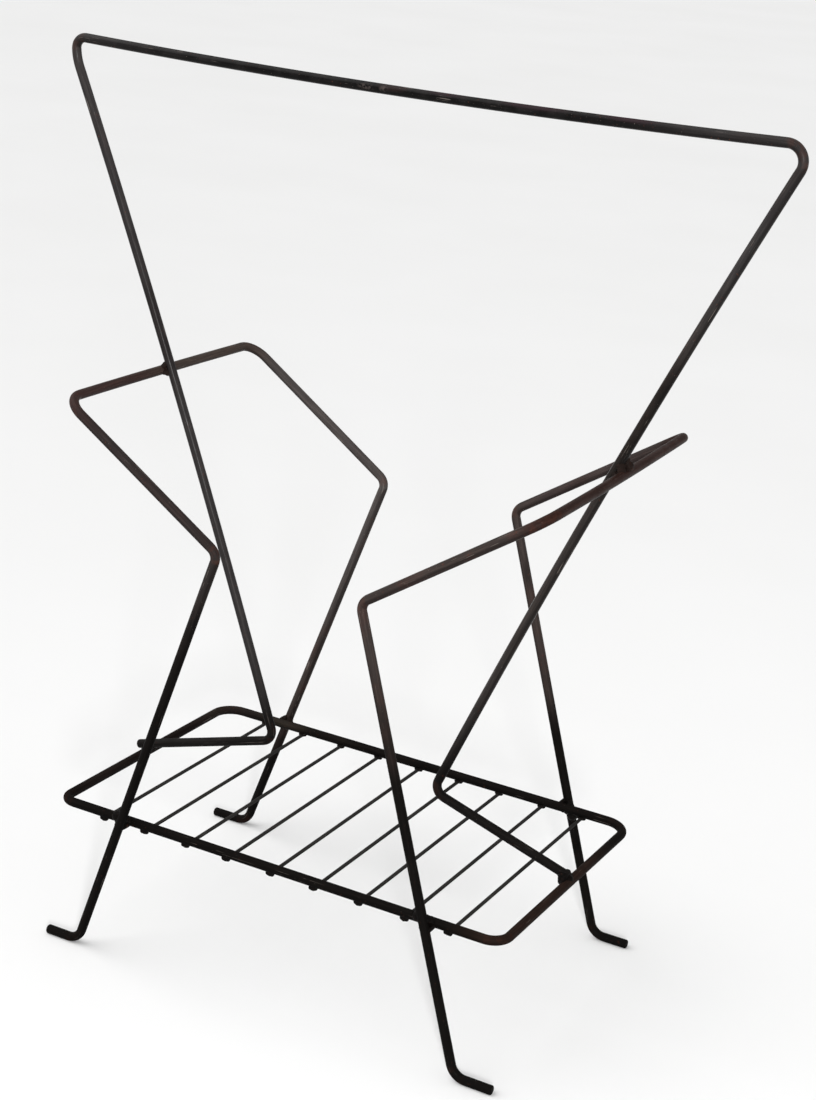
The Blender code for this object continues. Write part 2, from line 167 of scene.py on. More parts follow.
CAMERA_TARGET = Vector((0.02219, 0.00908, 0.28980))
CAMERA_DISTANCE = 1.41445
CAMERA_AZIMUTH = math.radians(26.571)
CAMERA_ELEVATION = math.radians(19.182)
CAMERA_ROLL = math.radians(4.842)
CAMERA_LENS = 70.81


# Paths of the rods


def rack_point(point):
    """A point of the rack's level frame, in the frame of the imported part."""
    leaned = Matrix.Rotation(-LEAN, 4, "X") @ Vector(point)
    return leaned - Vector((0, STEP_FORWARD, 0))


def arc_points(corner, before, after, radius):
    """The bend at a corner, from the run that arrives to the run that leaves."""
    back = (before - corner).normalized()
    ahead = (after - corner).normalized()
    opening = back.angle(ahead)
    turn = math.pi - opening
    centre = corner + (back + ahead).normalized() * radius / math.sin(opening / 2)
    reach = radius / math.tan(opening / 2)
    start = corner + back * reach - centre
    end = corner + ahead * reach - centre
    steps = max(2, math.ceil(turn / BEND_STEP))
    points = []
    for step in range(steps + 1):
        angle = turn * step / steps
        weights = math.sin(turn - angle), math.sin(angle)
        points.append(centre + (start * weights[0] + end * weights[1]) / math.sin(turn))
    return points


def bowed_run(start, end, bow):
    """The points inside a run that bows by the vector bow at its middle."""
    points = []
    for step in range(1, BOWED_RUN_STEPS):
        share = step / BOWED_RUN_STEPS
        points.append(start.lerp(end, share) + bow * 4 * share * (1 - share))
    return points


def rod_path(corners, radii, bows=None, closed=False):
    """Straight or bowed runs between the corners, with an arc of its radius at each one."""
    count = len(corners)
    bends = []
    for index, corner in enumerate(corners):
        if not closed and index in (0, count - 1):
            bends.append([corner])
            continue
        before = corners[index - 1]
        after = corners[(index + 1) % count]
        bends.append(arc_points(corner, before, after, radii[index]))
    points = []
    for index, bend in enumerate(bends):
        points += bend
        if bows and index < count - 1 and bows[index]:
            points += bowed_run(bend[-1], bends[index + 1][0], bows[index])
    return points


def bow_corner(side, end, corner):
    """A corner of an end bow where its straight runs would meet."""
    foot_y = LEG_Y_AT_TRAY + LEG_SPLAY * TRAY_HEIGHT
    foot_z = (FOOT_HEIGHT + end * foot_y * math.sin(LEAN)) / math.cos(LEAN)
    knee_y = LEG_Y_AT_TRAY - LEG_SPLAY * (KNEE_HEIGHT - TRAY_HEIGHT)
    places = {
        "tip": (FOOT_BEND_X + FOOT_LENGTH, foot_y, foot_z),
        "foot": (FOOT_BEND_X, foot_y, foot_z),
        "knee": (KNEE_X, knee_y, KNEE_HEIGHT),
        "top": (BOW_TOP_X, BOW_TOP_Y, BOW_TOP_HEIGHT),
    }
    x, y, z = places[corner]
    return Vector((side * x, end * y, z)) + BOW_OFFSETS.get((side, end, corner), Vector())


def leg_at_tray(side, end):
    """Where a leg's centreline crosses the height of the tray, and the leg's direction."""
    foot = bow_corner(side, end, "foot")
    knee = bow_corner(side, end, "knee")
    share = (TRAY_HEIGHT - foot.z) / (knee.z - foot.z)
    return foot.lerp(knee, share), (knee - foot).normalized()


def handle_corner(side, corner):
    """A corner of the handle. The shoulder is a slight bend in the left side run, near its top."""
    drop = HANDLE_RIGHT_DROP if side == RIGHT else 0
    knee = Vector((side * HANDLE_KNEE_X[side], 0, TRAY_HEIGHT + HANDLE_KNEE_RISE - drop))
    over_bar = Vector((side * TRAY_LENGTH / 2, 0, TRAY_HEIGHT + HANDLE_END_RISE - drop))
    if corner == "top":
        return Vector((side * HANDLE_TOP_X[side], 0, HANDLE_TOP_HEIGHT))
    if corner == "shoulder":
        return Vector((side * HANDLE_SHOULDER_X, 0, HANDLE_SHOULDER_HEIGHT))
    if corner == "knee":
        return knee
    if corner == "over_bar":
        return over_bar
    return over_bar + (over_bar - knee).normalized() * HANDLE_OVERHANG[side]


def bar_spring(side):
    """How far the handle presses out the middle of a bow's top bar."""
    return Vector((side * BOW_TOP_SPRING, 0, 0))


def bar_at_handle(side):
    """The middle of a bow's top bar, where the handle's side rod presses on its inner side."""
    front, back = bow_corner(side, FRONT, "top"), bow_corner(side, BACK, "top")
    return (front + back) / 2 + bar_spring(side)


def handle_side(side):
    """The bow of a side run of the handle, and its point and direction at the bow's top bar."""
    knee = handle_corner(side, "knee")
    run = handle_corner(side, HANDLE_RUN_ENDS[side]) - knee
    inward = Vector((-side * run.z, 0, side * run.x)).normalized()
    bar = bar_at_handle(side) - knee
    share = bar.dot(run) / run.length_squared
    push = 2 * ROD_RADIUS + ROD_GAP + bar.dot(inward)
    bow = inward * push / (4 * share * (1 - share))
    crossing = knee + run * share + inward * push
    direction = (run + bow * 4 * (1 - 2 * share)).normalized()
    return bow, crossing, direction


def wire_x(number):
    """The place of a cross wire, numbered from 1 at the left end."""
    middle = (WIRE_NUMBERS[0] + WIRE_NUMBERS[-1]) / 2
    return (number - middle) * WIRE_PITCH + WIRE_SHIFTS.get(number, 0)


def bow_path(side):
    half = ("tip", "foot", "knee", "top")
    corners = [bow_corner(side, FRONT, corner) for corner in half]
    corners += [bow_corner(side, BACK, corner) for corner in reversed(half)]
    radii = [0, *BOW_RADII.values()]
    bows = [None, None, None, bar_spring(side), None, None, None]
    return rod_path(corners, [*radii, *reversed(radii)], bows)


def handle_path():
    left_half = ("end", "knee", "shoulder", "top")
    right_half = ("top", "knee", "end")
    corners = [handle_corner(LEFT, corner) for corner in left_half]
    corners += [handle_corner(RIGHT, corner) for corner in right_half]
    radii = [0, HANDLE_KNEE_RADIUS, HANDLE_SHOULDER_RADIUS]
    radii += [HANDLE_TOP_RADII[LEFT], HANDLE_TOP_RADII[RIGHT], HANDLE_KNEE_RADIUS, 0]
    sag = Vector((0, 0, -HANDLE_TOP_SAG))
    bows = [None, handle_side(LEFT)[0], None, sag, handle_side(RIGHT)[0], None]
    return rod_path(corners, radii, bows)


def tray_path():
    corners = []
    for side, end in TRAY_CORNER_RADII:
        corners.append(Vector((side * TRAY_LENGTH / 2, end * TRAY_WIDTH / 2, TRAY_HEIGHT)))
    return rod_path(corners, list(TRAY_CORNER_RADII.values()), closed=True)


# Rods as meshes


def evenly_spaced(points, step):
    """The same path with a station at least every step."""
    stations = [points[0]]
    for here, there in zip(points, points[1:]):
        count = max(1, math.ceil((there - here).length / step))
        for index in range(1, count + 1):
            stations.append(here.lerp(there, index / count))
    return stations


def with_end_rings(stations, rounding):
    """Extra stations close to both cut ends, for their rounded edges."""
    ends = []
    for first, second in ((stations[0], stations[1]), (stations[-1], stations[-2])):
        direction = (second - first).normalized()
        rings = []
        for ring in range(END_RINGS + 1):
            depth = rounding * (1 - math.cos(math.pi / 2 * ring / END_RINGS))
            rings.append(first + direction * depth)
        ends.append(rings)
    inner = stations[1:-1]
    return ends[0] + inner + list(reversed(ends[1]))


def end_share(distance, radius, rounding):
    """The share of its full radius that a rod has at a distance from its cut end."""
    if distance >= rounding:
        return 1
    return 1 - (rounding - math.sqrt(rounding**2 - (rounding - distance) ** 2)) / radius


def path_lengths(stations):
    lengths = [0.0]
    for here, there in zip(stations, stations[1:]):
        lengths.append(lengths[-1] + (there - here).length)
    return lengths


def path_bends(stations, closed):
    """For each station, the unit vector to the inside of its bend and how much it is bent.

    The bending is 1 for a bend as tight as the knees'.
    """
    count = len(stations)
    bends = []
    for index, here in enumerate(stations):
        inside = Vector()
        for reach in (1, 2):
            before = stations[(index - reach) % count if closed else max(0, index - reach)]
            after = stations[(index + reach) % count if closed else min(count - 1, index + reach)]
            arriving, leaving = here - before, after - here
            if min(arriving.length, leaving.length) < STATION_STEP / 100:
                continue
            turn = leaving.normalized() - arriving.normalized()
            inside += turn / (arriving.length + leaving.length)
        amount = min(1, inside.length * BOW_RADII["knee"])
        bends.append((inside.normalized() if amount > 0.05 else Vector(), amount))
    return bends


def sweep_frames(stations, closed):
    """A direction and two across it for each station, without twist."""
    count = len(stations)
    directions = []
    for index in range(count):
        before = stations[(index - 1) % count if closed else max(0, index - 1)]
        after = stations[(index + 1) % count if closed else min(count - 1, index + 1)]
        directions.append((after - before).normalized())
    across = directions[0].orthogonal().normalized()
    frames = []
    for direction in directions:
        across = (across - direction * across.dot(direction)).normalized()
        frames.append((direction, across, direction.cross(across)))
    return frames


def ring_radius(place, angle_vector, bend, radius):
    """The rod's radius there: a little flat inside and outside a bend, and uneven with paint."""
    inside, amount = bend
    flat = BEND_FLATTENING * amount * angle_vector.dot(inside) ** 2
    swell = PAINT_SWELL * (noise.noise(place * PAINT_SWELL_SCALE) - 1) / 2
    return radius * (1 - flat) + swell


def rod_mesh(name, points, radius, sides, rounding, closed=False):
    """A rod along the points, carrying its own coordinates: across, across and along."""
    stations = evenly_spaced([rack_point(point) for point in points], STATION_STEP)
    if closed:
        stations = evenly_spaced([*stations, stations[0]], STATION_STEP)[:-1]
    else:
        stations = with_end_rings(stations, rounding)
    lengths = path_lengths(stations)
    bends = path_bends(stations, closed)
    shape = bmesh.new()
    rod_place = shape.verts.layers.float_vector.new("rod_place")
    bending = shape.verts.layers.float.new("bending")
    lit_side = shape.verts.layers.float.new("lit_side")
    rings = []
    for station, frame, length, bend in zip(
        stations, sweep_frames(stations, closed), lengths, bends
    ):
        share = 1
        if not closed:
            share = end_share(min(length, lengths[-1] - length), radius, rounding)
        lit = (LIT_SIDE - frame[0] * LIT_SIDE.dot(frame[0])).normalized()
        ring = []
        for side in range(sides):
            angle = math.tau * side / sides
            out = frame[1] * math.cos(angle) + frame[2] * math.sin(angle)
            size = ring_radius(station + out * radius, out, bend, radius) * share
            vertex = shape.verts.new(station + out * size)
            vertex[rod_place] = (math.cos(angle) * radius, math.sin(angle) * radius, length)
            vertex[bending] = bend[1] * (0.6 - 0.4 * out.dot(bend[0]))
            vertex[lit_side] = out.dot(lit)
            ring.append(vertex)
        rings.append(ring)
    pairs = list(zip(rings, rings[1:]))
    if closed:
        pairs.append((rings[-1], rings[0]))
    for ring, following in pairs:
        for side in range(sides):
            beside = (side + 1) % sides
            shape.faces.new((ring[side], ring[beside], following[beside], following[side]))
    if not closed:
        shape.faces.new(list(reversed(rings[0])))
        shape.faces.new(rings[-1])
    wear_flat_on_floor(shape)
    mesh = bpy.data.meshes.new(name)
    shape.to_mesh(mesh)
    shape.free()
    mesh.shade_smooth()
    mesh.set_sharp_from_angle(angle=math.radians(50))
    return mesh


def wear_flat_on_floor(shape):
    for vertex in shape.verts:
        vertex.co.z = max(0, vertex.co.z)


# Welds


def weld_mesh(name, rods, balls, reach):
    """Weld metal round a crossing: balls melted together with the cores of both rods."""
    shape = bmesh.new()
    for centre, direction, radius in rods:
        turn = direction.to_track_quat("Z", "Y").to_matrix().to_4x4()
        core = radius - WELD_ROD_INSET
        bmesh.ops.create_cone(
            shape,
            cap_ends=True,
            segments=24,
            radius1=core,
            radius2=core,
            depth=2 * reach,
            matrix=Matrix.Translation(centre) @ turn,
        )
    for centre, radius in balls:
        place = Matrix.Translation(centre)
        bmesh.ops.create_icosphere(shape, subdivisions=2, radius=radius, matrix=place)
    rough = bpy.data.meshes.new(name + "_rough")
    shape.to_mesh(rough)
    shape.free()
    holder = bpy.data.objects.new(name + "_rough", rough)
    bpy.context.scene.collection.objects.link(holder)
    remesh = holder.modifiers.new("melt", "REMESH")
    remesh.mode = "VOXEL"
    remesh.voxel_size = WELD_VOXEL
    soften = holder.modifiers.new("soften", "SMOOTH")
    soften.factor = 0.6
    soften.iterations = WELD_SMOOTHING
    graph = bpy.context.evaluated_depsgraph_get()
    mesh = bpy.data.meshes.new_from_object(holder.evaluated_get(graph))
    bpy.data.objects.remove(holder, do_unlink=True)
    mesh.name = name
    for vertex in mesh.vertices:
        lump = noise.fractal(vertex.co * WELD_LUMP_SCALE, 1.0, 2.0, 3)
        vertex.co += vertex.normal * lump * WELD_LUMP
    mesh.shade_smooth()
    return mesh


def fillet_balls(contact, axes, normal, corner, span, seed):
    """Balls of weld metal that fill one corner of a crossing with a concave fillet.

    axes are the directions of the first and the second rod, and normal goes from the first to
    the second. The outer layers hug one rod each, and the middle one hugs both.
    """
    balls = []
    for layer in FILLET_LAYERS:
        level = contact + normal * layer * ROD_RADIUS
        hugged = (0, 1) if layer == 0 else ((0,) if layer < 0 else (1,))
        for rod in hugged:
            along = axes[rod] * corner[rod]
            aside = axes[1 - rod] * corner[1 - rod]
            for share in FILLET_SHARES:
                place = Vector((share * 9 + layer, seed, corner[0] + 2 * corner[1] + rod))
                wobble = noise.noise_vector(place)
                height = span * (1 - math.sqrt(1 - (1 - share) ** 2))
                radius = (1.2 * MM + height / 2) * (1 + 0.10 * wobble.x)
                out = ROD_RADIUS * 0.92 + height * (1 + 0.2 * wobble.y) - radius
                reach = ROD_RADIUS * 0.92 + share * span
                balls.append((level + along * reach + aside * out, radius))
    return balls


def crossing_balls(contact, axes, normal, fillets, seed):
    """The weld metal between two rods and in the corners of their crossing."""
    balls = [(contact, ROD_RADIUS * 0.9)]
    for corner, span in fillets.items():
        balls += fillet_balls(contact, axes, normal, corner, span * MM, seed)
    return balls


def add_weld(name, rods, balls, reach, finish):
    leaned_rods = []
    for centre, direction, radius in rods:
        leaned = rack_point(centre + direction) - rack_point(centre)
        leaned_rods.append((rack_point(centre), leaned.normalized(), radius))
    leaned_balls = [(rack_point(centre), radius) for centre, radius in balls]
    mesh = weld_mesh(name + "_bead", leaned_rods, leaned_balls, reach)
    return add_piece(name + "_bead", mesh, finish, name)


def add_piece(name, mesh, finish, node):
    """One visible piece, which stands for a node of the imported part."""
    piece = bpy.data.objects.new(name, mesh)
    bpy.context.scene.collection.objects.link(piece)
    mesh.materials.clear()
    mesh.materials.append(finish)
    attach(piece, "root")
    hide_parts(node)
    return piece


def make_rods(finishes):
    mesh = rod_mesh("tray_rod", tray_path(), ROD_RADIUS, ROD_SIDES, END_ROUND, closed=True)
    add_piece("tray_rod", mesh, finishes["tray"], "tray_frame")
    for side in (LEFT, RIGHT):
        name = SIDE_NAMES[side] + "_bow_rod"
        mesh = rod_mesh(name, bow_path(side), ROD_RADIUS, ROD_SIDES, END_ROUND)
        add_piece(name, mesh, finishes["bow"], SIDE_NAMES[side] + "_bow")
    mesh = rod_mesh("handle_rod", handle_path(), ROD_RADIUS, ROD_SIDES, END_ROUND)
    add_piece("handle_rod", mesh, finishes["handle"], "handle")
    reach = Vector((0, TRAY_WIDTH / 2 + WIRE_OVERHANG, 0))
    for number in WIRE_NUMBERS:
        place = Vector((wire_x(number), 0, WIRE_HEIGHT))
        name = f"wire_rod_{number}"
        points = [place - reach, place + reach]
        mesh = rod_mesh(name, points, WIRE_RADIUS, WIRE_SIDES, WIRE_END_ROUND)
        add_piece(name, mesh, finishes["wire"], f"cross_wire_{number}")


def make_leg_welds(finish):
    along = Vector((1, 0, 0))
    for side, end in LEG_FILLETS:
        leg, direction = leg_at_tray(side, end)
        rail = Vector((leg.x, end * TRAY_WIDTH / 2, TRAY_HEIGHT))
        outward = Vector((0, end, 0))
        fillets = LEG_FILLETS[side, end]
        seed = side + 3 * end
        balls = crossing_balls((leg + rail) / 2, (along, direction), outward, fillets, seed)
        rods = ((rail, along, ROD_RADIUS), (leg, direction, ROD_RADIUS))
        name = f"leg_weld_{SIDE_NAMES[side]}_{END_NAMES[end]}"
        add_weld(name, rods, balls, 13 * MM, finish)


def make_handle_foot_weld(side, finish):
    """The foot lies on the end bar. The right one stops there, with its end melted over."""
    over_bar = handle_corner(side, "over_bar")
    direction = (over_bar - handle_corner(side, "knee")).normalized()
    bar = Vector((side * TRAY_LENGTH / 2, 0, TRAY_HEIGHT))
    across, up = Vector((0, 1, 0)), Vector((0, 0, 1))
    contact = (over_bar + bar) / 2
    balls = crossing_balls(contact, (across, direction), up, FOOT_FILLETS[side], side)
    reach = 10 * MM
    foot = over_bar + direction * (HANDLE_OVERHANG[side] - reach)
    if side == RIGHT:
        for shift in (-1.6 * MM, 0, 1.6 * MM):
            end = over_bar + across * shift - up * (0.9 * MM + abs(shift) / 2)
            balls.append((end, 2.3 * MM))
    rods = ((bar, across, ROD_RADIUS), (foot, direction, ROD_RADIUS))
    add_weld("handle_foot_weld_" + SIDE_NAMES[side], rods, balls, reach, finish)


def make_handle_side_weld(side, finish):
    _, crossing, direction = handle_side(side)
    bar = bar_at_handle(side)
    across = bow_corner(side, BACK, "top") - bow_corner(side, FRONT, "top")
    across = across.normalized()
    normal = (crossing - bar).normalized()
    contact = (crossing + bar) / 2
    balls = crossing_balls(contact, (across, direction), normal, SIDE_FILLETS[side], side + 9)
    rods = ((bar, across, ROD_RADIUS), (crossing, direction, ROD_RADIUS))
    add_weld("handle_side_weld_" + SIDE_NAMES[side], rods, balls, 14 * MM, finish)


def make_wire_welds(finish):
    """A blunt lump over each wire's end, under the outer side of the rail."""
    along, across = Vector((1, 0, 0)), Vector((0, 1, 0))
    for end in (FRONT, BACK):
        outward = across * end
        for number in WIRE_NUMBERS:
            rail = Vector((wire_x(number), end * TRAY_WIDTH / 2, TRAY_HEIGHT))
            wire = Vector((rail.x, rail.y, WIRE_HEIGHT)) - outward * 3 * MM
            below = rail - Vector((0, 0, ROD_RADIUS))
            balls = []
            for step in (-1, 0, 1):
                wobble = noise.noise_vector(Vector((step, number, end)) * 1.7)
                lump = below + along * step * 1.7 * MM + outward * 0.4 * MM
                lump.z -= (1.1 - 0.4 * abs(step)) * MM
                balls.append((lump, 1.7 * MM * (1 + 0.25 * wobble.x)))
                inner = below + along * step * 1.2 * MM - outward * 2.2 * MM
                balls.append((inner, 1.0 * MM * (1 + 0.3 * wobble.y)))
            rods = ((rail, along, ROD_RADIUS), (wire, across, WIRE_RADIUS))
            name = f"wire_weld_{END_NAMES[end]}_{number}"
            add_weld(name, rods, balls, 4 * MM, finish)


# Materials


class Graph:
    """A material's node graph, with short ways to add its nodes."""

    def __init__(self, name):
        self.material = bpy.data.materials.new(name)
        self.material.use_nodes = True
        tree = self.material.node_tree
        self.nodes, self.links = tree.nodes, tree.links
        self.shader = self.nodes["Principled BSDF"]

    def add(self, kind, inputs, **settings):
        node = self.nodes.new(kind)
        for key, value in settings.items():
            setattr(node, key, value)
        for key, value in inputs.items():
            self.set(node.inputs[key], value)
        return node

    def set(self, socket, value):
        if isinstance(value, bpy.types.NodeSocket):
            self.links.new(value, socket)
        else:
            socket.default_value = value

    def attribute(self, name, output):
        return self.add("ShaderNodeAttribute", {}, attribute_name=name).outputs[output]

    def place(self):
        """The point's place in metres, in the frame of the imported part."""
        return self.add("ShaderNodeTexCoord", {}).outputs["Object"]

    def stretch(self, vector, scale):
        return self.add("ShaderNodeMapping", {"Vector": vector, "Scale": scale}).outputs["Vector"]

    def noise(self, vector, scale, detail=3.0, roughness=0.55):
        inputs = {"Vector": vector, "Scale": scale, "Detail": detail, "Roughness": roughness}
        return self.add("ShaderNodeTexNoise", inputs).outputs["Fac"]

    def math(self, operation, first, second):
        node = self.add("ShaderNodeMath", {0: first, 1: second}, operation=operation)
        return node.outputs["Value"]

    def band(self, value, low, high, out_low=0.0, out_high=1.0):
        """out_low up to low, out_high from high, and a smooth change between them."""
        inputs = {
            "Value": value,
            "From Min": low,
            "From Max": high,
            "To Min": out_low,
            "To Max": out_high,
        }
        node = self.add("ShaderNodeMapRange", inputs, interpolation_type="SMOOTHSTEP")
        return node.outputs["Result"]

    def near(self, place, centre, reach):
        """1 round the centre, falling to 0 on the ellipsoid with these half sizes."""
        offset = self.add("ShaderNodeVectorMath", {0: place, 1: centre}, operation="SUBTRACT")
        inputs = {0: offset.outputs["Vector"], 1: reach}
        shares = self.add("ShaderNodeVectorMath", inputs, operation="DIVIDE")
        inputs = {0: shares.outputs["Vector"]}
        length = self.add("ShaderNodeVectorMath", inputs, operation="LENGTH")
        return self.band(length.outputs["Value"], 0.5, 1.0, 1.0, 0.0)

    def mix(self, share, first, second, blend="MIX"):
        inputs = {0: share, 6: first, 7: second}
        node = self.add("ShaderNodeMix", inputs, data_type="RGBA", blend_type=blend)
        return node.outputs[2]

    def bump(self, height, distance, strength, normal=None):
        inputs = {"Height": height, "Distance": distance, "Strength": strength}
        if normal:
            inputs["Normal"] = normal
        return self.add("ShaderNodeBump", inputs).outputs["Normal"]


def linear(*display):
    """A colour given as 8-bit display values, as linear light."""
    channels = []
    for channel in display:
        value = channel / 255
        if value <= 0.04045:
            channels.append(value / 12.92)
        else:
            channels.append(((value + 0.055) / 1.055) ** 2.4)
    return (*channels, 1)


NEAR_BLACK = linear(10, 8, 7)
FADED_BROWN = linear(50, 44, 42)
FADED_GREY = linear(43, 41, 41)
REDDISH_BROWN = linear(60, 42, 38)
OLIVE = linear(46, 41, 34)
PURPLISH = linear(44, 40, 40)
TRAY_BROWN = linear(30, 26, 24)
WIRE_GREY = linear(34, 33, 32)
RUST = linear(92, 50, 36)
BARE_STEEL = linear(150, 140, 132)
WORN_THROUGH = linear(98, 88, 84)

# Multipliers of the lacquer's colour: dusting with painted light on the upper side, drawn streaks,
# and painted shade on the lower side.
DUST_AND_LIGHT = (2.3, 2.25, 2.25, 1)
STREAKY = (1.55, 1.5, 1.45, 1)
SHADED = (0.50, 0.48, 0.48, 1)

# The lacquer keeps its black low down and has faded above. The border between the two is lower
# at the back than at the front, and more so at the left end.
FADE_HEIGHT = 0.185
FADE_REACH = 0.040
FADE_SLOPE_X = 0.10
FADE_SLOPE_Y = -0.45
FADE_TWIST = 2.6


def faded_share(graph, place):
    """0 where the lacquer is still black, near the tray and the feet, and 1 where it is faded."""
    axes = graph.add("ShaderNodeSeparateXYZ", {"Vector": place}).outputs
    slope_y = graph.math("ADD", graph.math("MULTIPLY", axes["X"], FADE_TWIST), FADE_SLOPE_Y)
    border = graph.math("MULTIPLY", axes["Y"], slope_y)
    border = graph.math("ADD", border, graph.math("MULTIPLY", axes["X"], FADE_SLOPE_X))
    height = graph.math("SUBTRACT", axes["Z"], border)
    drift = graph.band(graph.noise(place, 16.0), 0.25, 0.75, -0.012, 0.012)
    height = graph.math("ADD", height, drift)
    return graph.band(height, FADE_HEIGHT - FADE_REACH, FADE_HEIGHT + FADE_REACH)


def lacquer(
    name, faded, tint, satin, specular, dust_and_light_most, zones=(), worn_spots=(), deep=NEAR_BLACK
):
    """Worn satin lacquer: black low down, faded above, lighter on the upper side and darker below.

    satin is the roughness where it is faded. The argument after specular is the most that the
    upper side is lightened, as dusting and as painted light from above; the lower side gets
    painted shade.
    zones are (centre, reach, colour, share) of places with a colour of their own. worn_spots are
    (centre, reach) of places rubbed down to the steel.
    """
    graph = Graph(name)
    place = graph.place()
    rod_place = graph.attribute("rod_place", "Vector")
    bending = graph.attribute("bending", "Fac")
    lit_side = graph.attribute("lit_side", "Fac")

    fade = faded_share(graph, place)
    colour = graph.mix(fade, deep, faded)
    tinted = graph.band(graph.noise(place, 34.0, 5.0, 0.6), 0.48, 0.68, 0.0, 0.6)
    colour = graph.mix(graph.math("MULTIPLY", tinted, fade), colour, tint)
    for centre, reach, zone_colour, share in zones:
        patchy = graph.band(graph.noise(place, 90.0), 0.30, 0.60, 0.75 * share, share)
        here = graph.math("MULTIPLY", graph.near(place, centre, reach), patchy)
        colour = graph.mix(here, colour, zone_colour)

    drawn = graph.noise(graph.stretch(rod_place, (1.0, 1.0, 0.045)), 900.0, 3.0, 0.6)
    streaks = graph.band(drawn, 0.42, 0.72)
    colour = graph.mix(streaks, colour, STREAKY, "MULTIPLY")
    # Painted light: patchy dusting that lightens the upper side of each rod also stands for light
    # from above.
    patchy = graph.band(graph.noise(place, 120.0), 0.25, 0.6, 0.6 * dust_and_light_most, dust_and_light_most)
    dust_and_light_share = graph.math("MULTIPLY", graph.band(lit_side, 0.05, 0.80), patchy)
    colour = graph.mix(dust_and_light_share, colour, DUST_AND_LIGHT, "MULTIPLY")
    # Painted shade: the lower side of each rod is darkened.
    colour = graph.mix(graph.band(lit_side, -0.40, 0.25, 1.0, 0.0), colour, SHADED, "MULTIPLY")

    wear = graph.band(graph.noise(place, 210.0, 5.0), 0.42, 0.60, 0.0, 0.5)
    freckles = graph.band(graph.noise(place, 430.0, 4.0, 0.65), 0.64, 0.72)
    rusty = graph.math("MAXIMUM", graph.math("MULTIPLY", bending, wear), freckles)
    rust_share = graph.math("MULTIPLY", rusty, graph.band(fade, 0.0, 1.0, 0.22, 0.5))
    colour = graph.mix(rust_share, colour, RUST)

    scratch_lines = graph.noise(graph.stretch(rod_place, (1.0, 1.0, 0.02)), 1500.0, 2.0, 0.4)
    patches = graph.band(graph.noise(place, 60.0), 0.52, 0.62, 0.0, 0.45)
    scratched = graph.math("MULTIPLY", graph.band(scratch_lines, 0.66, 0.72), patches)
    flecks = graph.band(graph.noise(place, 1100.0, 2.0), 0.71, 0.77, 0.0, 0.4)
    bare = graph.math("MAXIMUM", scratched, flecks)
    bare = graph.math("MULTIPLY", bare, graph.band(fade, 0.0, 1.0, 0.4, 1.0))
    for centre, reach in worn_spots:
        rubbed = graph.band(graph.noise(place, 520.0, 4.0, 0.6), 0.44, 0.58)
        rubbed = graph.math("MULTIPLY", rubbed, graph.near(place, centre, reach))
        rubbed = graph.math("MULTIPLY", rubbed, 0.75)
        colour = graph.mix(rubbed, colour, WORN_THROUGH)
    colour = graph.mix(bare, colour, BARE_STEEL)

    matt = graph.band(fade, 0.0, 1.0, 0.62, satin)
    uneven = graph.band(graph.noise(place, 75.0, 4.0), 0.3, 0.7, -0.05, 0.08)
    roughness = graph.math("ADD", matt, uneven)
    roughness = graph.math("ADD", roughness, graph.math("MULTIPLY", rusty, 0.2))

    peel = graph.bump(graph.noise(place, 1400.0, 2.0), 0.00010, 0.30)
    mill = graph.bump(drawn, 0.00008, 0.35, peel)
    pits = graph.bump(graph.math("MAXIMUM", rusty, bare), 0.00012, 0.45, mill)

    graph.set(graph.shader.inputs["Base Color"], colour)
    graph.set(graph.shader.inputs["Roughness"], roughness)
    graph.set(graph.shader.inputs["Normal"], pits)
    graph.set(graph.shader.inputs["Specular IOR Level"], specular)
    return graph.material


def weld_lacquer(name):
    """Lacquer over lumpy weld metal: black low down and brown above, with scaly patches and a
    little rust.
    """
    graph = Graph(name)
    place = graph.place()
    colour = graph.mix(faded_share(graph, place), NEAR_BLACK, linear(32, 24, 21))
    scale = graph.noise(place, 650.0, 4.0, 0.6)
    colour = graph.mix(graph.band(scale, 0.5, 0.7, 0.0, 0.35), colour, linear(40, 29, 25))
    rusty = graph.band(graph.noise(place, 380.0, 5.0, 0.65), 0.60, 0.70)
    colour = graph.mix(graph.math("MULTIPLY", rusty, 0.14), colour, RUST)
    ripples = graph.bump(scale, 0.00030, 0.6)
    graph.set(graph.shader.inputs["Base Color"], colour)
    graph.set(graph.shader.inputs["Roughness"], graph.band(scale, 0.3, 0.7, 0.42, 0.62))
    graph.set(graph.shader.inputs["Normal"], ripples)
    graph.set(graph.shader.inputs["Specular IOR Level"], 0.04)
    return graph.material


